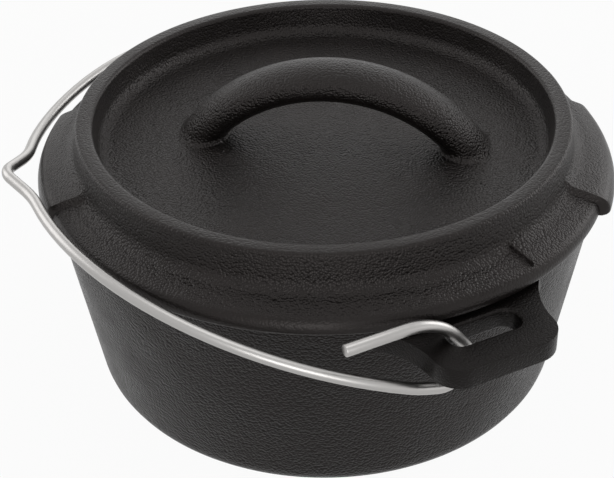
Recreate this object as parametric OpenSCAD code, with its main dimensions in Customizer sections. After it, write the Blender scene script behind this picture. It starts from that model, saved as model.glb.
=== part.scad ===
// Small camp oven in cast iron: a pot with two slotted ears, a dished lid with a handle, and a wire bail.
// The origin is the centre of the pot's flat base. +Z is up and the ears lie along X.

/* [Pot] */
// Height of the rim above the base
pot_height = 59; // [54:1:64]
// Outside radius at the rim
rim_radius = 73.4; // [71:0.2:76]
// Lean of the wall in degrees
wall_draft = 9.1; // [6:0.1:11]
// Thickness of the wall
pot_wall = 5; // [4:0.1:6]
// Thickness of the floor
pot_floor = 6; // [4:0.5:8]
// Rounding between the base and the wall
base_round = 6.5; // [4:0.5:10]
// Rounding between the floor and the wall inside
inside_round = 10; // [6:0.5:12]

/* [Ears] */
// Thickness of an ear
ear_thick = 5.5; // [4.5:0.1:6.5]
// Drop of the ear's top below the rim
ear_drop = 1.1; // [0.5:0.1:3]
// Reach of an ear beyond the rim
ear_reach = 18.2; // [17:0.2:21]
// Width of an ear
ear_width = 32.8; // [31:0.2:36]
// Radius of the outer corners
ear_corner = 7; // [6:0.5:8]
// Radius of the flare at the wall
ear_flare = 21; // [20:0.5:24]
// Distance of the slot from the rim's radius
slot_inset = 3.1; // [2.5:0.1:4.5]
// Width of the slot
slot_width = 7; // [6:0.1:8]
// Length of the slot
slot_length = 19; // [18.4:0.2:21]
// Radius of the slot's corners
slot_corner = 3; // [1:0.1:3]

/* [Lid] */
// Reach of the flange beyond the pot's rim
flange_overhang = 2; // [1:0.1:2.6]
// Thickness of the flange at its edge
flange_edge = 3.4; // [2.8:0.1:4.5]
// Width of the sloping flange
flange_width = 8.7; // [7.5:0.1:9.5]
// Rise of the flange from its edge to the coal rim
flange_rise = 3.8; // [2.5:0.1:5]
// Height of the coal rim above the flange
coal_rim_height = 8.9; // [7:0.1:11]
// Lean of the coal rim's outside
coal_rim_lean = 1.4; // [1:0.1:2.5]
// Width of the coal rim's top
coal_rim_width = 4.5; // [3.5:0.1:5]
// Depth of the dish inside the coal rim
dish_depth = 8.6; // [7:0.1:9]
// Lean of the coal rim's inside
dish_lean = 1.2; // [0.6:0.1:2]
// Rounding at the edge of the dish's floor
dish_round = 3; // [2:0.5:4]
// Thickness of the lid's floor
lid_floor = 5; // [4:0.1:5.5]
// Depth of the lip that centres the lid in the pot
lip_depth = 4; // [3:0.5:6]
// Width of the lip
lip_width = 4; // [3:0.5:5]
// Gap between the lip and the pot's wall
lip_gap = 1.2; // [0.8:0.1:2]

/* [Lid grips] */
// Direction of the grips and the handle in degrees from the ears
grip_turn = 63.5; // [55:0.5:75]
// Width of a grip, between its two straight sides
grip_width = 46.5; // [40:0.5:50]
// Shift of the grips from the lid's middle, across their own direction
grip_shift = 4.5; // [0:0.5:5]
// Reach of a grip beyond the flange
grip_reach = 1.1; // [0.8:0.1:1.2]
// Height of a grip above the flange
grip_lift = 1.7; // [1:0.1:2.2]

/* [Lid handle] */
// Thickness of the handle's bar
handle_bar = 9.9; // [9:0.1:12]
// Width of the handle's oval bar
handle_width = 15.8; // [12:0.2:18]
// Radius of the handle's arch along the middle of the bar
handle_arch = 44.8; // [42:0.1:47]
// Height of the handle's top above the dish's floor
handle_height = 22.7; // [22:0.1:25]
// Turn of the handle from the ears' line in degrees
handle_turn = 55; // [45:0.5:75]
// Shift of the handle along its own line
handle_shift = 2.8; // [-4:0.1:4]

/* [Bail] */
// Thickness of the wire
wire_d = 3; // [2.6:0.1:3.4]
// Length of a hook's straight tail
hook_tail = 15.5; // [12:0.5:18]
// Height of the front hook's tail above the ear
tail_height = 7.1; // [6.8:0.1:8]
// Distance of the front hook's crown from the ear's middle line
crown_start = 21; // [20.6:0.1:21.4]
// Bend radius of the front hook's crown along the middle of the wire
crown_radius = 17; // [16.5:0.1:17.5]
// Slope of the front hook through its slot in degrees
hook_slope = 55; // [54:0.5:58]
// Straight length of the front hook through its slot
hook_straight = 4.4; // [4:0.1:4.8]
// Bend radius of the front hook under the ear
hook_radius = 6.5; // [6.2:0.1:7]
// Bend radius of the rear hook
rear_radius = 6.5; // [6.3:0.1:7]
// Rise of the rear arm, which crosses over its ear
rear_lift = 16; // [15.8:0.1:17]
// Distance of the rise's start from the bow's middle
lift_start = 33; // [28:1:38]
// Lean of the bail from level in degrees
bail_tilt = 18.1; // [17.6:0.1:19]
// Gap between the bow and the lid's grips, seen from above
bow_gap = 0.42; // [0.4:0.02:2]
// Straight length of the bail before its shoulder
arm_straight = 2.8; // [2:0.1:4]
// Bend radius of the bail's shoulder
shoulder_radius = 21; // [18:0.5:26]
// Height of the hanging peak above the bow
peak_rise = 5.3; // [5:0.1:6.5]
// Turn of the hanging peak from the bow's middle in degrees
peak_turn = 15.6; // [0:0.1:18]
// Slope of the peak's sides in degrees
peak_slope = 30.5; // [28:0.5:32]
// Bend radius at the peak's tip
peak_tip = 6.2; // [5:0.1:7]
// Bend radius where the peak meets the bow
peak_blend = 25.5; // [20:0.5:28]

/* [Hidden] */
$fn = 96;
iron = [0.09, 0.085, 0.085];
steel = [0.72, 0.72, 0.73];
arc_steps = 8;
bend_step = 6;
wire_sides = 12;
bar_sides = 32;

base_radius = pot_r(0);
ear_top = pot_height - ear_drop;
ear_bottom = ear_top - ear_thick;
ear_end = rim_radius + ear_reach;
ear_half = ear_width / 2;
slot_near = rim_radius + slot_inset;
// The flare runs from the outer corner into the wall.
flare_turn = 67;
cut_margin = 4;
// The ear starts inside the wall and the wall's own cone trims it.
ear_start = rim_radius - 3 * cut_margin;

flange_r = rim_radius + flange_overhang;
flange_top = pot_height + flange_edge;
crease_r = flange_r - flange_width;
crease_z = flange_top + flange_rise;
coal_rim_r = crease_r - coal_rim_lean;
coal_rim_z = crease_z + coal_rim_height;
dish_r = coal_rim_r - coal_rim_width;
dish_z = coal_rim_z - dish_depth;
dish_foot_r = dish_r - dish_lean;
lip_r = rim_radius - pot_wall - lip_depth * tan(wall_draft) - lip_gap;
grip_r = flange_r + grip_reach;
grip_slope = flange_rise / flange_width;
arch_z = dish_z + handle_height - handle_bar / 2 - handle_arch;

wire_x = slot_near + slot_width / 2;
crown_y = -crown_start;
crown_z = ear_top + tail_height - crown_radius;
drop_y = crown_y + crown_radius * sin(hook_slope);
drop_z = crown_z + crown_radius * cos(hook_slope);
hook_y = drop_y + hook_straight * cos(hook_slope) - hook_radius * sin(hook_slope);
hook_z = drop_z - hook_straight * sin(hook_slope) - hook_radius * cos(hook_slope);
bow_start_y = hook_y - hook_radius * sin(bail_tilt);
bow_start_z = hook_z - hook_radius * cos(bail_tilt);
rear_y = bow_start_y + (rear_lift - rear_radius) * sin(bail_tilt);
rear_z = bow_start_z + (rear_lift - rear_radius) * cos(bail_tilt);
lift_span = wire_x - lift_start;
lift_power = 2.5;
// The bow's crest stays clear of the grips, so that the lid lifts straight up past it.
bow_reach = (grip_r + bow_gap + wire_d / 2 + bow_start_y) / cos(bail_tilt);
crown = bow_reach - shoulder_radius;
shoulder_x = wire_x - shoulder_radius;
bow_y = (pow(crown, 2) - pow(shoulder_x, 2) - pow(arm_straight, 2)) / (2 * (crown - arm_straight));
bow_radius = bow_reach - bow_y;
shoulder_angle = atan2(arm_straight - bow_y, shoulder_x);
tip_y = bow_radius + peak_rise - peak_tip;
blend_y = bow_radius + peak_blend;
peak_angle = 90 + peak_turn;
peak_half = peak_slope - acos((tip_y * cos(peak_slope) + peak_tip + peak_blend) / blend_y);

function pot_r(z) = rim_radius - (pot_height - z) * tan(wall_draft);

function arc(x, y, r, from, to) = [
    for (i = [0 : arc_steps])
        let (a = from + (to - from) * i / arc_steps)
        [x + r * cos(a), y + r * sin(a)]
];

module pot_outline() {
    outer_x = base_radius - base_round * (1 - sin(wall_draft)) / cos(wall_draft);
    inner_y = pot_floor + inside_round;
    inner_x = base_radius - pot_wall + (inner_y * sin(wall_draft) - inside_round) / cos(wall_draft);
    polygon(concat(
        [[0, 0]],
        arc(outer_x, base_round, base_round, -90, -wall_draft),
        [[rim_radius, pot_height], [rim_radius - pot_wall, pot_height]],
        arc(inner_x, inner_y, inside_round, -wall_draft, -90),
        [[0, pot_floor]]
    ));
}

// One casting with its ears: a drafted bowl with a flat base and a flat rim.
module pot() {
    color(iron)
        rotate_extrude()
            pot_outline();
}

module ear_outline() {
    corner_x = ear_end - ear_corner;
    corner_y = ear_half - ear_corner;
    flare_y = ear_half + ear_flare;
    root_y = flare_y - ear_flare * cos(flare_turn);
    polygon(concat(
        arc(corner_x, -corner_y, ear_corner, -90, 0),
        arc(corner_x, corner_y, ear_corner, 0, 90),
        arc(corner_x, flare_y, ear_flare, 270, 270 - flare_turn),
        [[ear_start, root_y], [ear_start, -root_y]],
        arc(corner_x, -flare_y, ear_flare, 90 + flare_turn, 90)
    ));
}

module slot_outline() {
    far_x = slot_near + slot_width - slot_corner;
    near_x = slot_near + slot_corner;
    end_y = slot_length / 2 - slot_corner;
    polygon(concat(
        arc(far_x, end_y, slot_corner, 0, 90),
        arc(near_x, end_y, slot_corner, 90, 180),
        arc(near_x, -end_y, slot_corner, 180, 270),
        arc(far_x, -end_y, slot_corner, 270, 360)
    ));
}

// A flat ear with a slot for the bail's hook, trimmed to the pot's wall.
module ear() {
    low = ear_bottom - cut_margin;
    high = ear_top + cut_margin;
    color(iron)
        difference() {
            translate([0, 0, ear_bottom])
                linear_extrude(ear_thick)
                    difference() {
                        ear_outline();
                        slot_outline();
                    }
            translate([0, 0, low])
                cylinder(h = high - low, r1 = pot_r(low), r2 = pot_r(high));
        }
}

module front_ear() {
    ear();
}

module rear_ear() {
    rotate([0, 0, 180])
        ear();
}

module lid_outline() {
    polygon(concat(
        [[0, dish_z]],
        arc(dish_foot_r - dish_round, dish_z + dish_round, dish_round, -90, 0),
        [
            [dish_r, coal_rim_z],
            [coal_rim_r, coal_rim_z],
            [crease_r, crease_z],
            [flange_r, flange_top],
            [flange_r, pot_height],
            [lip_r, pot_height],
            [lip_r, pot_height - lip_depth],
            [lip_r - lip_width, pot_height - lip_depth],
            [lip_r - lip_width, dish_z - lid_floor],
            [0, dish_z - lid_floor]
        ]
    ));
}

// Both grips are what a slab across the lid leaves of one ring.
module grips() {
    top = crease_z + grip_lift;
    intersection() {
        rotate_extrude()
            polygon([
                [coal_rim_r, pot_height],
                [grip_r, pot_height],
                [grip_r, top - (grip_r - crease_r) * grip_slope],
                [crease_r, top],
                [coal_rim_r, top]
            ]);
        rotate([0, 0, grip_turn])
            translate([-grip_r - cut_margin, -grip_width / 2 - grip_shift, pot_height - cut_margin])
                cube([2 * (grip_r + cut_margin), grip_width, top - pot_height + 2 * cut_margin]);
    }
}

// A dished lid that holds coals, with a locating lip below and two grips on its flange.
module lid() {
    color(iron)
        union() {
            rotate_extrude()
                lid_outline();
            grips();
        }
}

module handle_outline() {
    polygon([
        for (i = [0 : bar_sides - 1])
            let (a = 360 * i / bar_sides)
            [handle_arch + handle_bar / 2 * cos(a), handle_width / 2 * sin(a)]
    ]);
}

// An arched bar that stands on the dish's floor.
module lid_handle() {
    color(iron)
        difference() {
            rotate([0, 0, handle_turn])
                translate([handle_shift, 0, arch_z])
                    rotate([90, 0, 0])
                        rotate_extrude()
                            handle_outline();
            translate([0, 0, dish_z - handle_arch * 2])
                cylinder(h = handle_arch * 2, r = handle_arch * 2);
        }
}

// Each stop along the wire holds its middle and two directions across it.
function tail_stop(side, y, z) = [
    [side * wire_x, y - hook_tail, z],
    [side, 0, 0],
    [0, 0, 1]
];

function hook_stop(side, y, z, radius, turn) = [
    [side * wire_x, y + radius * cos(turn), z + radius * sin(turn)],
    [side, 0, 0],
    [0, side * cos(turn), side * sin(turn)]
];

// The bow rises out of its plane towards the rear arm.
function lift_share(x) = max(-x - lift_start, 0) / lift_span;

function lift(x) = rear_lift * pow(lift_share(x), lift_power);

function lift_slope(x) = -lift_power * rear_lift / lift_span * pow(lift_share(x), lift_power - 1);

// The bow's plane leans, with x along the ears and y away from the hooks.
function bow_stop(x, y, heading) =
    let (run = [cos(heading), -sin(heading) * cos(bail_tilt), sin(heading) * sin(bail_tilt)])
    let (climb = lift_slope(x) * cos(heading))
    let (up = [0, sin(bail_tilt), cos(bail_tilt)])
    [
        [x, bow_start_y - y * cos(bail_tilt), bow_start_z + y * sin(bail_tilt)] + lift(x) * up,
        [sin(heading), cos(heading) * cos(bail_tilt), -cos(heading) * sin(bail_tilt)],
        (climb * run - up) / sqrt(1 + climb * climb)
    ];

function bend_steps(from, to) = ceil(abs(to - from) / bend_step);

function hook_bend(side, y, z, radius, from, to) = [
    for (i = [0 : bend_steps(from, to)])
        hook_stop(side, y, z, radius, from + (to - from) * i / bend_steps(from, to))
];

// A bend that goes on from the one before leaves out its first stop.
function bow_bend(middle, radius, from, to, quarter, first) = [
    for (i = [first : bend_steps(from, to)])
        let (a = from + (to - from) * i / bend_steps(from, to))
        bow_stop(middle[0] + radius * cos(a), middle[1] + radius * sin(a), a + quarter)
];

function from_bow_middle(distance, angle) = [distance * cos(angle), bow_y + distance * sin(angle)];

function wire_stops() = concat(
    [tail_stop(1, crown_y, crown_z + crown_radius)],
    hook_bend(1, crown_y, crown_z, crown_radius, 90, 90 - hook_slope),
    hook_bend(1, hook_y, hook_z, hook_radius, 90 - hook_slope, -90 - bail_tilt),
    bow_bend([shoulder_x, arm_straight], shoulder_radius, 0, shoulder_angle, 90, 0),
    bow_bend([0, bow_y], bow_radius, shoulder_angle, peak_angle - peak_half, 90, 1),
    bow_bend(from_bow_middle(blend_y, peak_angle - peak_half), peak_blend,
        180 + peak_angle - peak_half, 180 + peak_angle - peak_slope, -90, 1),
    bow_bend(from_bow_middle(tip_y, peak_angle), peak_tip,
        peak_angle - peak_slope, peak_angle + peak_slope, 90, 0),
    bow_bend(from_bow_middle(blend_y, peak_angle + peak_half), peak_blend,
        180 + peak_angle + peak_slope, 180 + peak_angle + peak_half, -90, 0),
    bow_bend([0, bow_y], bow_radius, peak_angle + peak_half, 180 - shoulder_angle, 90, 1),
    bow_bend([-shoulder_x, arm_straight], shoulder_radius, 180 - shoulder_angle, 180, 90, 1),
    hook_bend(-1, rear_y, rear_z, rear_radius, 90 - bail_tilt, -90),
    [tail_stop(-1, rear_y, rear_z - rear_radius)]
);

// One wire: a hook in each ear's slot, a bow between them and a peak to hang it by.
module bail() {
    stops = wire_stops();
    last = len(stops) - 1;
    points = [
        for (stop = stops, k = [0 : wire_sides - 1])
            let (a = 360 * k / wire_sides)
            stop[0] + wire_d / 2 * (cos(a) * stop[1] + sin(a) * stop[2])
    ];
    walls = [
        for (i = [0 : last - 1], k = [0 : wire_sides - 1])
            let (here = i * wire_sides)
            let (next = (k + 1) % wire_sides)
            [here + k, here + next, here + wire_sides + next, here + wire_sides + k]
    ];
    start_cap = [for (k = [wire_sides - 1 : -1 : 0]) k];
    end_cap = [for (k = [0 : wire_sides - 1]) last * wire_sides + k];
    color(steel)
        polyhedron(points, concat(walls, [start_cap, end_cap]));
}

pot();
front_ear();
rear_ear();
lid();
lid_handle();
bail();
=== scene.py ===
from math import acos, atan2, cos, degrees, hypot, pi, radians, sin, sqrt

import bmesh
import bpy
from mathutils import Matrix, Vector


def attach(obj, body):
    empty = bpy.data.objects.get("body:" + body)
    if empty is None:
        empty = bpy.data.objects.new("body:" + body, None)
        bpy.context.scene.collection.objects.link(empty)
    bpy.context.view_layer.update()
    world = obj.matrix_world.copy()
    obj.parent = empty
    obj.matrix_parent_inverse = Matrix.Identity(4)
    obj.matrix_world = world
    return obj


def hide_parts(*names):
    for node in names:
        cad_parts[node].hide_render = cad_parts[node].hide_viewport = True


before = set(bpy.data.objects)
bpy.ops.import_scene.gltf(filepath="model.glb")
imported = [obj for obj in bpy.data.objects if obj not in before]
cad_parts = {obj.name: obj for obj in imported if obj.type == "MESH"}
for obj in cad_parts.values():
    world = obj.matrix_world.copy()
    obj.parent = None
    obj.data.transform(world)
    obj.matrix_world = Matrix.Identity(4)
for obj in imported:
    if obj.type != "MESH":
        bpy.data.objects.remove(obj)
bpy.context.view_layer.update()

# Camera: it stands above and in front of the oven, a little to the bail's side,
# and the frame holds the oven alone.
camera_place = (0.30536, -0.15707, 0.27706)
look_azimuth = radians(63.6)
look_down = radians(35.391)
look_roll = 0.0196
focal_px = 1500
picture_px = 614
across = Vector((cos(look_azimuth), sin(look_azimuth), 0))
away = Vector((-sin(look_azimuth), cos(look_azimuth), 0))
forward = away * cos(look_down) - Vector((0, 0, sin(look_down)))
level_up = across.cross(forward)
camera_right = across * cos(look_roll) - level_up * sin(look_roll)
camera_up = across * sin(look_roll) + level_up * cos(look_roll)
lens = bpy.data.cameras.new("camera")
lens.sensor_fit = "HORIZONTAL"
lens.sensor_width = 36
lens.lens = focal_px * lens.sensor_width / picture_px
lens.clip_start = 0.01
lens.clip_end = 20
camera = bpy.data.objects.new("camera", lens)
turn = Matrix((camera_right, camera_up, -forward)).transposed()
camera.matrix_world = Matrix.Translation(camera_place) @ turn.to_4x4()
bpy.context.scene.collection.objects.link(camera)
bpy.context.scene.camera = camera


# Pot: one iron casting, a round bowl with a drafted wall, a flat base and a ground rim.
# It is sand cast, so its corners are rounded and its skin has a fine pebbly grain,
# and it is seasoned with oil to a satin black.
mm = 0.001
pot_height = 59
rim_radius = 73.4
wall_slope = 0.1602
base_radius = rim_radius - pot_height * wall_slope
pot_wall = 5
pot_floor = 6
base_round = 5.6
inside_round = 8.5
rim_outer_round = 0.5
rim_inner_round = 0.8
iron_dark = (0.006, 0.0048, 0.0044)
iron_light = (0.011, 0.009, 0.0085)


def turned(corners, steps, ring_gap=3):
    """A closed outline of (radius, height, rounding) in mm, rounded and spun about the upright axis.

    Long straight stretches are cut into rings no further apart than the ring gap in mm.
    """
    bm = bmesh.new()
    outline = [bm.verts.new((r * mm, 0, z * mm)) for r, z, cut in corners]
    bm.faces.new(outline)
    for vert, (r, z, cut) in zip(outline, corners):
        if cut:
            bmesh.ops.bevel(bm, geom=[vert], offset=cut * mm, offset_type="OFFSET", segments=6,
                            profile=0.5, affect="VERTICES", material=-1)
    bmesh.ops.delete(bm, geom=bm.faces[:], context="FACES_ONLY")
    on_axis = [e for e in bm.edges if all(v.co.x < 1e-7 for v in e.verts)]
    bmesh.ops.delete(bm, geom=on_axis, context="EDGES")
    long_edges = [e for e in bm.edges if e.calc_length() > 2 * ring_gap * mm]
    for edge in long_edges:
        cuts = int(edge.calc_length() / (ring_gap * mm))
        bmesh.ops.subdivide_edges(bm, edges=[edge], cuts=cuts)
    bmesh.ops.spin(bm, geom=bm.verts[:] + bm.edges[:], cent=(0, 0, 0), axis=(0, 0, 1),
                   angle=2 * pi, steps=steps, use_merge=True)
    bmesh.ops.remove_doubles(bm, verts=bm.verts[:], dist=1e-6)
    bmesh.ops.recalc_face_normals(bm, faces=bm.faces[:])
    return bm


def add_piece(name, bm, material, body, slot, *nodes):
    """The finished mesh as a piece that rides on its body and stands for its solids."""
    mesh = bpy.data.meshes.new(name)
    bm.to_mesh(mesh)
    bm.free()
    mesh.shade_smooth()
    mesh.set_sharp_from_angle(angle=radians(35))
    mesh.materials.append(material)
    piece = bpy.data.objects.new(name, mesh)
    bpy.context.scene.collection.objects.link(piece)
    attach(piece, body)
    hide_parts(*nodes)
    return piece


def seasoned_iron(name, grain_size, grain_depth, sheen, dark, light, bands=()):
    """Satin black iron: a pebbly sand-cast skin under thin baked oil, uneven in colour and gloss.

    The grain's size and depth are in mm. The bands give the grain's strength at some distances
    in mm from the upright axis, where the casting is ground or rubbed smoother.
    """
    ramp_end = 100
    material = bpy.data.materials.new(name)
    material.use_nodes = True
    nodes = material.node_tree.nodes
    links = material.node_tree.links
    shader = nodes["Principled BSDF"]
    shader.inputs["Specular Tint"].default_value = (1, 0.93, 0.91, 1)
    shader.inputs["Specular IOR Level"].default_value = sheen
    place = nodes.new("ShaderNodeTexCoord")

    patches = nodes.new("ShaderNodeTexNoise")
    patches.inputs["Scale"].default_value = 70
    patches.inputs["Detail"].default_value = 4
    links.new(place.outputs["Object"], patches.inputs["Vector"])
    colour = nodes.new("ShaderNodeValToRGB")
    colour.color_ramp.elements[0].position = 0.35
    colour.color_ramp.elements[0].color = (*dark, 1)
    colour.color_ramp.elements[1].position = 0.7
    colour.color_ramp.elements[1].color = (*light, 1)
    links.new(patches.outputs["Fac"], colour.inputs["Fac"])
    links.new(colour.outputs["Color"], shader.inputs["Base Color"])

    gloss = nodes.new("ShaderNodeMapRange")
    gloss.inputs["From Min"].default_value = 0.3
    gloss.inputs["From Max"].default_value = 0.7
    gloss.inputs["To Min"].default_value = 0.27
    gloss.inputs["To Max"].default_value = 0.4
    links.new(patches.outputs["Fac"], gloss.inputs["Value"])
    links.new(gloss.outputs["Result"], shader.inputs["Roughness"])

    pebbles = nodes.new("ShaderNodeTexVoronoi")
    pebbles.inputs["Scale"].default_value = 1 / (grain_size * mm)
    links.new(place.outputs["Object"], pebbles.inputs["Vector"])
    domes = nodes.new("ShaderNodeMath")
    domes.operation = "POWER"
    domes.inputs[1].default_value = 2
    links.new(pebbles.outputs["Distance"], domes.inputs[0])
    skin = nodes.new("ShaderNodeBump")
    skin.invert = True
    skin.inputs["Strength"].default_value = 1
    skin.inputs["Distance"].default_value = grain_depth * mm
    links.new(domes.outputs["Value"], skin.inputs["Height"])
    if bands:
        level_place = nodes.new("ShaderNodeVectorMath")
        level_place.operation = "MULTIPLY"
        level_place.inputs[1].default_value = (1 / (ramp_end * mm), 1 / (ramp_end * mm), 0)
        links.new(place.outputs["Object"], level_place.inputs[0])
        distance = nodes.new("ShaderNodeVectorMath")
        distance.operation = "LENGTH"
        links.new(level_place.outputs["Vector"], distance.inputs[0])
        strength = nodes.new("ShaderNodeValToRGB")
        for number, (radius, amount) in enumerate(bands):
            if number > 1:
                strength.color_ramp.elements.new(radius / ramp_end)
            strength.color_ramp.elements[number].position = radius / ramp_end
            strength.color_ramp.elements[number].color = (amount, amount, amount, 1)
        links.new(distance.outputs["Value"], strength.inputs["Fac"])
        links.new(strength.outputs["Color"], skin.inputs["Strength"])
    links.new(skin.outputs["Normal"], shader.inputs["Normal"])
    return material


pot_outline = [
    (0, 0, 0),
    (base_radius, 0, base_round),
    (rim_radius, pot_height, rim_outer_round),
    (rim_radius - pot_wall, pot_height, rim_inner_round),
    (base_radius - pot_wall + pot_floor * wall_slope, pot_floor, inside_round),
    (0, pot_floor, 0),
]
pot_iron = seasoned_iron("pot_iron", grain_size=0.7, grain_depth=0.3, sheen=0.14,
                         dark=iron_dark, light=iron_light)
add_piece("pot_bowl", turned(pot_outline, steps=256), pot_iron, "pot_body", "pot_iron", "pot")

# Ears: two flat iron lugs cast in one with the pot's wall below the rim, each with a slot for the bail.
# Their outline flares into the wall. The mould leaves their upper edge tight and their lower edge
# full and round, and the skin is finer than the wall's. Their colour is darker than the pot's: painted shade.
ear_bottom = 52.4
ear_top = 57.9
ear_end = 91.6
ear_half = 16.4
ear_corner = 6.95
ear_lower_round = 2.6
ear_upper_round = 1.2
flare_x = 70.7
flare_round = 13.8
root_x = 65.15
root_half = 29.47
root_radius = 70
root_steps = 24
slot_near = 76.5
slot_far = 83.5
slot_half = 9.5
slot_corner = 3
slot_edge_round = 0.8
# Darker copies of the pot's iron colours: painted shade over the ears, which sit under the lid's flange.
shaded_ear_dark = (0.004, 0.0033, 0.003)
shaded_ear_light = (0.007, 0.006, 0.0056)


def rounded_loop(bm, corners, height):
    """A level outline of (x, y, rounding) corners in mm, as a loop of edges."""
    outline = [bm.verts.new((x * mm, y * mm, height * mm)) for x, y, cut in corners]
    bm.faces.new(outline)
    for vert, (x, y, cut) in zip(outline, corners):
        if cut:
            bmesh.ops.bevel(bm, geom=[vert], offset=cut * mm, offset_type="OFFSET", segments=10,
                            profile=0.5, affect="VERTICES", material=-1)


def round_edges(bm, height, in_slot, radius):
    """Rounds the ear's sharp edges at one height, either round the slot or round the outside."""
    edges = []
    for edge in bm.edges:
        middle = (edge.verts[0].co + edge.verts[1].co) / 2 / mm
        level = all(abs(v.co.z / mm - height) < 0.001 for v in edge.verts)
        slotted = slot_near - 0.1 < middle.x < slot_far + 0.1 and abs(middle.y) < slot_half + 0.1
        sharp = edge.is_manifold and edge.calc_face_angle() > 1.2
        if level and sharp and slotted == in_slot and middle.x > root_x:
            edges.append(edge)
    bmesh.ops.bevel(bm, geom=edges, offset=radius * mm, offset_type="OFFSET", segments=5,
                    profile=0.5, affect="EDGES", clamp_overlap=True, material=-1)


def ear_mesh(turn):
    """A slotted ear whose root follows the pot and ends inside its wall."""
    bm = bmesh.new()
    root_angle = atan2(root_half, root_x)
    in_wall = [root_angle * (1 - 2 * step / root_steps) for step in range(root_steps + 1)]
    rounded_loop(bm, [
        (ear_end, -ear_half, ear_corner),
        (ear_end, ear_half, ear_corner),
        (flare_x, ear_half, flare_round),
        (root_x, root_half, 0),
        *[(root_radius * cos(a), root_radius * sin(a), 0) for a in in_wall],
        (root_x, -root_half, 0),
        (flare_x, -ear_half, flare_round),
    ], ear_bottom)
    rounded_loop(bm, [
        (slot_far, -slot_half, slot_corner),
        (slot_far, slot_half, slot_corner),
        (slot_near, slot_half, slot_corner),
        (slot_near, -slot_half, slot_corner),
    ], ear_bottom)
    bmesh.ops.delete(bm, geom=bm.faces[:], context="FACES_ONLY")
    bmesh.ops.triangle_fill(bm, edges=bm.edges[:], use_beauty=True)
    inner_edges = [e for e in bm.edges if len(e.link_faces) == 2]
    bmesh.ops.dissolve_limit(bm, angle_limit=0.01, verts=[], edges=inner_edges)
    raised = bmesh.ops.extrude_face_region(bm, geom=bm.faces[:], use_keep_orig=True)
    lifted = [v for v in raised["geom"] if isinstance(v, bmesh.types.BMVert)]
    bmesh.ops.translate(bm, verts=lifted, vec=(0, 0, (ear_top - ear_bottom) * mm))
    bmesh.ops.recalc_face_normals(bm, faces=bm.faces[:])
    round_edges(bm, ear_bottom, False, ear_lower_round)
    round_edges(bm, ear_top, False, ear_upper_round)
    round_edges(bm, ear_bottom, True, slot_edge_round)
    round_edges(bm, ear_top, True, slot_edge_round)
    bmesh.ops.rotate(bm, verts=bm.verts[:], cent=(0, 0, 0), matrix=Matrix.Rotation(turn, 3, "Z"))
    bmesh.ops.recalc_face_normals(bm, faces=bm.faces[:])
    return bm


# The ears' iron is painted darker than the pot's iron as painted shade; only its finer grain is real.
shaded_ear_iron = seasoned_iron("shaded_ear_iron", grain_size=0.5, grain_depth=0.1, sheen=0.14,
                         dark=shaded_ear_dark, light=shaded_ear_light)
add_piece("ear_front", ear_mesh(0), shaded_ear_iron, "pot_body", "pot_iron", "front_ear")
add_piece("ear_rear", ear_mesh(pi), shaded_ear_iron, "pot_body", "pot_iron", "rear_ear")

# Lid: one seasoned iron casting that rests on the pot's rim, a dish that holds coals inside a raised rim.
# A sloping flange runs round it, with two raised straight-sided grips and a small wedge that marks the front,
# and a lip below drops into the pot.
flange_radius = 75.38
flange_top = 62.4
flange_upper_round = 2.2
flange_lower_round = 0.8
crease_radius = 66.7
crease_height = 66.2
crease_round = 2.6
trough = 0.3
ridge_radius = 70.4
ridge_height = 64.7
ridge_round = 0.3
coal_rim_radius = 65.3
coal_rim_height = 75.1
coal_rim_outer_round = 0.9
coal_rim_inner_round = 1.0
dish_floor = 66.5
dish_foot_radius = 59.6
dish_rim_radius = 60.8
dish_round = 3.2
lid_floor = 5
lid_floor_round = 2.0
lip_radius = 66.5
lip_depth = 4
lip_width = 4
lip_root_round = 0.6
lip_round = 1.0
grip_turn = radians(63.5)
grip_near = -27.75
grip_far = 18.75
grip_reach = 1.1
grip_splay = 1.3
grip_lift = 1.7
grip_corner = 1.8
step_run = 1.2
wall_foot = 1.2
wedge_height = 1.1
wedge_sunk = 0.5
wedge_edge_round = 0.3
wedge_places = [(66.2, radians(13.9)), (74.0, radians(15.3)), (66.2, radians(20.1))]
ground_bands = [(58.5, 0.9), (60.5, 0.3), (64.5, 0.3), (65.6, 0.8), (73, 0.8), (74.5, 0.25)]
flange_slope = (crease_height - flange_top) / (flange_radius - crease_radius)
rim_lean = (crease_radius - coal_rim_radius) / (coal_rim_height - crease_height)
grip_along = Vector((cos(grip_turn), sin(grip_turn), 0))
grip_across = Vector((-sin(grip_turn), cos(grip_turn), 0))
lid_outline = [
    (0, dish_floor, 0),
    (dish_foot_radius, dish_floor, dish_round),
    (dish_rim_radius, coal_rim_height, coal_rim_inner_round),
    (coal_rim_radius, coal_rim_height, coal_rim_outer_round),
    (crease_radius, crease_height - trough, crease_round),
    (ridge_radius, ridge_height, ridge_round),
    (flange_radius, flange_top, flange_upper_round),
    (flange_radius, pot_height, flange_lower_round),
    (lip_radius, pot_height, lip_root_round),
    (lip_radius, pot_height - lip_depth, lip_round),
    (lip_radius - lip_width, pot_height - lip_depth, lip_round),
    (lip_radius - lip_width, dish_floor - lid_floor, lid_floor_round),
    (0, dish_floor - lid_floor, 0),
]


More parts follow.
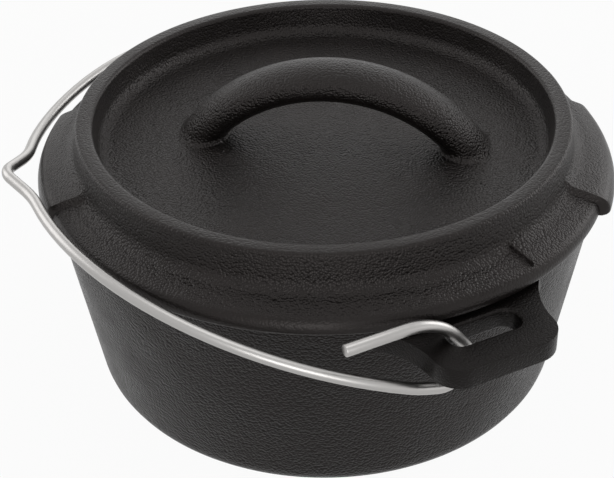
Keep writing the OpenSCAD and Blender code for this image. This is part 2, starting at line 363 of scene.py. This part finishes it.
def raise_grips(bm):
    """Lifts and widens the flange over each grip, with a short steep step along the grip's two straight sides.

    The foot of the coal rim's wall goes up with the flange, and the wall above it takes up the rise.
    """
    wall_height = coal_rim_height - crease_height - wall_foot
    for side in (grip_near, grip_far):
        for part in (-0.5, 0.5):
            flange = [f for f in bm.faces if hypot(*f.calc_center_median().xy) > coal_rim_radius * mm]
            cut_edges = {e for f in flange for e in f.edges}
            cut_verts = {v for f in flange for v in f.verts}
            bmesh.ops.bisect_plane(bm, geom=[*flange, *cut_edges, *cut_verts], dist=1e-6,
                                   plane_co=grip_across * (side + part * step_run) * mm, plane_no=grip_across)
    for vert in bm.verts:
        r = hypot(vert.co.x, vert.co.y) / mm
        z = vert.co.z / mm
        on_lip = r < lip_radius + 0.05 and z < crease_height - 1
        if r < coal_rim_radius - 0.5 or z < pot_height - 0.01 or on_lip:
            continue
        across_grip = vert.co.dot(grip_across) / mm
        inside = min(across_grip - grip_near, grip_far - across_grip)
        lift = grip_lift * min(max(inside / step_run + 0.5, 0), 1)
        corner = min(max((inside + step_run / 2) / grip_corner, 0), 1)
        reach = grip_reach * sqrt(1 - (1 - corner) ** 2)
        if vert.co.dot(grip_along) > 0:
            reach *= 1 + grip_splay * max(grip_far - across_grip, 0) / (grip_far - grip_near)
        out = min(max((r - crease_radius) / (flange_radius - crease_radius), 0), 1)
        if z > crease_height + wall_foot:
            rise = lift * (coal_rim_height - z) / wall_height
            new_r = r - rise * rim_lean
            new_z = z + rise
        else:
            new_r = r + reach * out - lift * rim_lean * (1 - out)
            share = min(max((z - pot_height) / (flange_top - pot_height), 0), 1)
            new_z = z + (lift - reach * out * flange_slope) * share
        scale = new_r / r
        vert.co = (vert.co.x * scale, vert.co.y * scale, new_z * mm)


def add_wedge(bm):
    """A low triangular wedge on the flange, its corners given by radius and turn."""
    corners = []
    for radius, turn in wedge_places:
        sunk = crease_height - (radius - crease_radius) * flange_slope - wedge_sunk
        corners.append(bm.verts.new((radius * cos(turn) * mm, radius * sin(turn) * mm, sunk * mm)))
    raised = bmesh.ops.extrude_face_region(bm, geom=[bm.faces.new(corners)], use_keep_orig=True)
    lifted = [v for v in raised["geom"] if isinstance(v, bmesh.types.BMVert)]
    bmesh.ops.translate(bm, verts=lifted, vec=(0, 0, (wedge_height + wedge_sunk) * mm))
    top = [e for e in bm.edges if all(v in lifted for v in e.verts)]
    bmesh.ops.bevel(bm, geom=top, offset=wedge_edge_round * mm, offset_type="OFFSET", segments=3,
                    profile=0.5, affect="EDGES", material=-1)


lid_mesh = turned(lid_outline, steps=720)
raise_grips(lid_mesh)
add_wedge(lid_mesh)
bmesh.ops.recalc_face_normals(lid_mesh, faces=lid_mesh.faces[:])
lid_iron = seasoned_iron("lid_iron", grain_size=0.6, grain_depth=0.3, sheen=0.25,
                         dark=iron_dark, light=iron_light, bands=ground_bands)
add_piece("lid_dish", lid_mesh, lid_iron, "lid_body", "lid_iron", "lid")

# Lid handle: an arched oval bar of iron, cast in one with the dish's floor, with small fillets at its feet.
# A finger or a lid lifter's hook goes under it. It has the lid's seasoned skin.
handle_thick = 9.9
handle_width = 15.8
handle_turn = radians(55)
handle_shift = 2.8
arch_radius = 44.8
arch_height = 39.45
foot_fillet = 1.8
foot_sunk = 0.3
arch_span = radians(56)
handle_along = Vector((cos(handle_turn), sin(handle_turn), 0))
handle_across = Vector((-sin(handle_turn), cos(handle_turn), 0))
handle_mesh = bmesh.new()
bmesh.ops.create_circle(handle_mesh, segments=48, radius=0.5 * mm)
bmesh.ops.scale(handle_mesh, verts=handle_mesh.verts[:], vec=(handle_thick, handle_width, 1))
up = Vector((0, 0, 1))
start_out = handle_along * sin(arch_span) + up * cos(arch_span)
start_run = handle_along * cos(arch_span) - up * sin(arch_span)
start_turn = Matrix((start_out, handle_across, start_run)).transposed().to_4x4()
arch_middle = (handle_along * handle_shift + up * arch_height) * mm
bmesh.ops.transform(handle_mesh, verts=handle_mesh.verts[:],
                    matrix=Matrix.Translation(arch_middle + start_out * arch_radius * mm) @ start_turn)
bmesh.ops.spin(handle_mesh, geom=handle_mesh.verts[:] + handle_mesh.edges[:], cent=arch_middle,
               axis=handle_across, angle=-2 * arch_span, steps=150)
bmesh.ops.bisect_plane(handle_mesh, geom=handle_mesh.verts[:] + handle_mesh.edges[:] + handle_mesh.faces[:],
                       plane_co=(0, 0, (dish_floor - foot_sunk) * mm), plane_no=(0, 0, -1), clear_outer=True)
for vert in handle_mesh.verts:
    height = vert.co.z / mm - dish_floor
    if height < foot_fillet:
        run = (vert.co - arch_middle).dot(handle_along)
        side = vert.co.dot(handle_across)
        drop = arch_height - dish_floor - max(height, 0)
        foot = sqrt(arch_radius ** 2 - drop ** 2) * mm * (1 if run > 0 else -1)
        outwards = Vector((run - foot, side))
        away_by = 1 - max(height, 0) / foot_fillet
        outwards *= foot_fillet * mm * (1 - sqrt(1 - away_by ** 2)) / outwards.length
        vert.co += handle_along * outwards.x + handle_across * outwards.y
open_edges = [e for e in handle_mesh.edges if e.is_boundary]
bmesh.ops.holes_fill(handle_mesh, edges=open_edges, sides=0)
bmesh.ops.recalc_face_normals(handle_mesh, faces=handle_mesh.faces[:])
add_piece("lid_arch", handle_mesh, lid_iron, "lid_body", "lid_iron", "lid_handle")

# Bail: one length of bright drawn steel wire, bent cold. The front end hooks down through its ear's slot,
# the bow lies round the lid with a sharp bend to hang it by, and the rear arm crosses over
# its ear and turns down through the slot.
wire_radius = 1.5
wire_end_round = 0.25
wire_x = 80
hook_tail = 15.5
crown = Vector((0, -21, 48))
crown_radius = 17
hook_slope = radians(55)
hook_straight = 4.4
hook_radius = 6.5
rear_radius = 6.5
rear_lift = 16
lift_start = 33
lift_power = 2.5
bail_tilt = radians(18.1)
bow_reach = 69.95
arm_straight = 2.8
shoulder_radius = 21
peak_rise = 5.3
peak_turn = radians(15.6)
peak_slope = radians(30.5)
peak_tip = 6.2
peak_blend = 25.5
ear_line = Vector((1, 0, 0))
hook_run = Vector((0, cos(hook_slope), -sin(hook_slope)))
hook_out = Vector((0, sin(hook_slope), cos(hook_slope)))
bow_run = Vector((0, -cos(bail_tilt), sin(bail_tilt)))
bow_face = Vector((0, -sin(bail_tilt), -cos(bail_tilt)))
hook_middle = crown + hook_out * (crown_radius - hook_radius) + hook_run * hook_straight
bow_start = hook_middle + bow_face * hook_radius
rear_middle = bow_start - bow_face * (rear_lift - rear_radius)
shoulder_x = wire_x - shoulder_radius
crest = bow_reach - shoulder_radius
bow_middle = (crest ** 2 - shoulder_x ** 2 - arm_straight ** 2) / (2 * (crest - arm_straight))
bow_radius = bow_reach - bow_middle
shoulder_angle = atan2(arm_straight - bow_middle, shoulder_x)
tip_middle = bow_radius + peak_rise - peak_tip
blend_middle = bow_radius + peak_blend
peak_half = peak_slope - acos((tip_middle * cos(peak_slope) + peak_tip + peak_blend) / blend_middle)
peak_angle = pi / 2 + peak_turn
leg_start = Vector((peak_tip * sin(peak_slope), tip_middle + peak_tip * cos(peak_slope)))
leg_end = Vector((blend_middle * sin(peak_half) - peak_blend * sin(peak_slope),
                  blend_middle * cos(peak_half) - peak_blend * cos(peak_slope)))
leg_length = (leg_end - leg_start).length
up_leg = peak_angle + pi / 2 - peak_slope
down_leg = peak_angle + pi / 2 + peak_slope


def in_bow(x, reach):
    """A point of the bow's leaning plane: x along the ears, reach away from the hooks."""
    return bow_start + ear_line * x + bow_run * reach


def from_bow_middle(distance, angle):
    return in_bow(distance * cos(angle), bow_middle + distance * sin(angle))


def bend_wire(bm, end, middle, axis, angle):
    """Carries the wire's end ring round a bend, in steps of about three degrees."""
    steps = max(4, int(abs(degrees(angle)) / 3))
    made = bmesh.ops.spin(bm, geom=end, cent=middle * mm, axis=axis, angle=angle, steps=steps)
    return made["geom_last"]


def draw_wire(bm, end, run):
    """Carries the wire's end ring straight on."""
    edges = [e for e in end if isinstance(e, bmesh.types.BMEdge)]
    made = bmesh.ops.extrude_edge_only(bm, edges=edges)["geom"]
    moved = [v for v in made if isinstance(v, bmesh.types.BMVert)]
    bmesh.ops.translate(bm, verts=moved, vec=run * mm)
    return moved + [e for e in made if isinstance(e, bmesh.types.BMEdge) and all(v in moved for v in e.verts)]


def lift_rear(bm):
    """Raises the bow out of its plane towards the rear, each ring of the wire as one."""
    for vert in bm.verts:
        place = vert.co / mm - bow_start
        reach = place.dot(bow_run)
        turn = atan2(reach - bow_middle, place.x)
        if turn < pi - shoulder_angle:
            middle_x = bow_radius * cos(turn)
        else:
            shoulder_turn = atan2(max(reach - arm_straight, 0), place.x + shoulder_x)
            middle_x = shoulder_radius * cos(shoulder_turn) - shoulder_x
        share = max(-middle_x - lift_start, 0) / (wire_x - lift_start)
        vert.co -= bow_face * rear_lift * share ** lift_power * mm


wire = bmesh.new()
bmesh.ops.create_circle(wire, segments=28, radius=wire_radius * mm)
bmesh.ops.rotate(wire, verts=wire.verts[:], cent=(0, 0, 0), matrix=Matrix.Rotation(pi / 2, 3, "X"))
tail_end = crown + ear_line * wire_x + Vector((0, -hook_tail, crown_radius))
bmesh.ops.translate(wire, verts=wire.verts[:], vec=tail_end * mm)
end = wire.verts[:] + wire.edges[:]
end = draw_wire(wire, end, Vector((0, hook_tail, 0)))
end = bend_wire(wire, end, crown + ear_line * wire_x, ear_line, -hook_slope)
end = draw_wire(wire, end, hook_run * hook_straight)
end = bend_wire(wire, end, hook_middle + ear_line * wire_x, ear_line, hook_slope - pi - bail_tilt)
end = draw_wire(wire, end, bow_run * arm_straight)
end = bend_wire(wire, end, in_bow(shoulder_x, arm_straight), bow_face, shoulder_angle)
end = bend_wire(wire, end, in_bow(0, bow_middle), bow_face, peak_angle - peak_half - shoulder_angle)
blend_in = from_bow_middle(blend_middle, peak_angle - peak_half)
end = bend_wire(wire, end, blend_in, bow_face, peak_half - peak_slope)
end = draw_wire(wire, end, (ear_line * cos(up_leg) + bow_run * sin(up_leg)) * leg_length)
end = bend_wire(wire, end, from_bow_middle(tip_middle, peak_angle), bow_face, 2 * peak_slope)
end = draw_wire(wire, end, (ear_line * cos(down_leg) + bow_run * sin(down_leg)) * leg_length)
blend_out = from_bow_middle(blend_middle, peak_angle + peak_half)
end = bend_wire(wire, end, blend_out, bow_face, peak_half - peak_slope)
end = bend_wire(wire, end, in_bow(0, bow_middle), bow_face, pi - shoulder_angle - peak_angle - peak_half)
end = bend_wire(wire, end, in_bow(-shoulder_x, arm_straight), bow_face, shoulder_angle)
end = draw_wire(wire, end, -bow_run * arm_straight)
lift_rear(wire)
end = bend_wire(wire, end, rear_middle - ear_line * wire_x, ear_line, bail_tilt - pi)
end = draw_wire(wire, end, Vector((0, -hook_tail, 0)))
cut_edges = [e for e in wire.edges if e.is_boundary]
bmesh.ops.holes_fill(wire, edges=cut_edges, sides=0)
bmesh.ops.remove_doubles(wire, verts=wire.verts[:], dist=1e-6)
bmesh.ops.recalc_face_normals(wire, faces=wire.faces[:])
rims = [e for e in wire.edges if any(len(f.verts) > 4 for f in e.link_faces)]
bmesh.ops.bevel(wire, geom=rims, offset=wire_end_round * mm, offset_type="OFFSET", segments=2, profile=0.5,
                affect="EDGES", material=-1)

drawn_steel = bpy.data.materials.new("drawn_steel")
drawn_steel.use_nodes = True
steel_nodes = drawn_steel.node_tree.nodes
steel_links = drawn_steel.node_tree.links
steel = steel_nodes["Principled BSDF"]
steel.inputs["Metallic"].default_value = 1
steel.inputs["Base Color"].default_value = (0.4, 0.39, 0.38, 1)
steel_place = steel_nodes.new("ShaderNodeTexCoord")
draw_lines = steel_nodes.new("ShaderNodeTexNoise")
draw_lines.inputs["Scale"].default_value = 900
draw_lines.inputs["Detail"].default_value = 3
steel_links.new(steel_place.outputs["Object"], draw_lines.inputs["Vector"])
polish = steel_nodes.new("ShaderNodeMapRange")
polish.inputs["To Min"].default_value = 0.25
polish.inputs["To Max"].default_value = 0.4
steel_links.new(draw_lines.outputs["Fac"], polish.inputs["Value"])
steel_links.new(polish.outputs["Result"], steel.inputs["Roughness"])
add_piece("bail_wire", wire, drawn_steel, "bail_body", "bail_wire", "bail")

# Studio: a plain pale floor under soft lamps, with a white surround behind the oven.
# The camera and the gloss see the surround as white, and the oven's shadow stays on the floor.
def seen_share(tree):
    """One where the camera or a gloss sees the surround, and none where it only lights the oven."""
    path = tree.nodes.new("ShaderNodeLightPath")
    share = path.outputs["Is Camera Ray"]
    for ray in ("Is Glossy Ray", "Is Transmission Ray"):
        either = tree.nodes.new("ShaderNodeMath")
        either.operation = "MAXIMUM"
        tree.links.new(share, either.inputs[0])
        tree.links.new(path.outputs[ray], either.inputs[1])
        share = either.outputs["Value"]
    return share


floor_mesh = bmesh.new()
bmesh.ops.create_grid(floor_mesh, x_segments=1, y_segments=1, size=4)
floor_data = bpy.data.meshes.new("floor")
floor_mesh.to_mesh(floor_data)
floor_mesh.free()
floor = bpy.data.objects.new("floor", floor_data)
bpy.context.scene.collection.objects.link(floor)
floor_paint = bpy.data.materials.new("floor_paint")
floor_paint.use_nodes = True
floor_nodes = floor_paint.node_tree.nodes
floor_links = floor_paint.node_tree.links
floor_shader = floor_nodes["Principled BSDF"]
floor_shader.inputs["Base Color"].default_value = (0.8, 0.8, 0.8, 1)
floor_shader.inputs["Roughness"].default_value = 0.9
white = floor_nodes.new("ShaderNodeEmission")
white.inputs["Strength"].default_value = 1
seen_white = floor_nodes.new("ShaderNodeMath")
seen_white.operation = "MULTIPLY"
seen_white.inputs[1].default_value = 0.95
floor_links.new(seen_share(floor_paint.node_tree), seen_white.inputs[0])
floor_mix = floor_nodes.new("ShaderNodeMixShader")
floor_links.new(seen_white.outputs["Value"], floor_mix.inputs["Fac"])
floor_links.new(floor_shader.outputs["BSDF"], floor_mix.inputs[1])
floor_links.new(white.outputs["Emission"], floor_mix.inputs[2])
floor_links.new(floor_mix.outputs["Shader"], floor_nodes["Material Output"].inputs["Surface"])
floor_data.materials.append(floor_paint)

world = bpy.data.worlds.new("studio")
world.use_nodes = True
bpy.context.scene.world = world
world_nodes = world.node_tree.nodes
world_links = world.node_tree.links
surround = world_nodes["Background"]
surround.inputs["Color"].default_value = (1, 1, 1, 1)
level = world_nodes.new("ShaderNodeMapRange")
level.inputs["To Min"].default_value = 0.06
level.inputs["To Max"].default_value = 1
world_links.new(seen_share(world.node_tree), level.inputs["Value"])
world_links.new(level.outputs["Result"], surround.inputs["Strength"])

lamp_aim = Vector((0, 0, 0.06))
for lamp_name, place, size, power in [
    ("lamp_left", -across * 0.85 + away * 0.4 + up * 0.5, 0.7, 2.2),
    ("lamp_right", across * 0.85 + away * 0.42 + up * 0.45, 0.7, 3.2),
    ("lamp_back", away * 1.0 + up * 0.45, 0.6, 0.9),
    ("lamp_front", -away * 1.0 + up * 0.35, 0.6, 3),
    ("lamp_low", across * 0.9 - away * 0.4 + up * 0.15, 0.6, 0.4),
    ("lamp_top", up * 1.1, 0.6, 1.2),
]:
    lamp_data = bpy.data.lights.new(lamp_name, "AREA")
    lamp_data.size = size
    lamp_data.energy = power
    lamp = bpy.data.objects.new(lamp_name, lamp_data)
    facing = (lamp_aim - place).to_track_quat("-Z", "Y").to_matrix().to_4x4()
    lamp.matrix_world = Matrix.Translation(place) @ facing
    bpy.context.scene.collection.objects.link(lamp)

bpy.context.scene.view_settings.view_transform = "Standard"
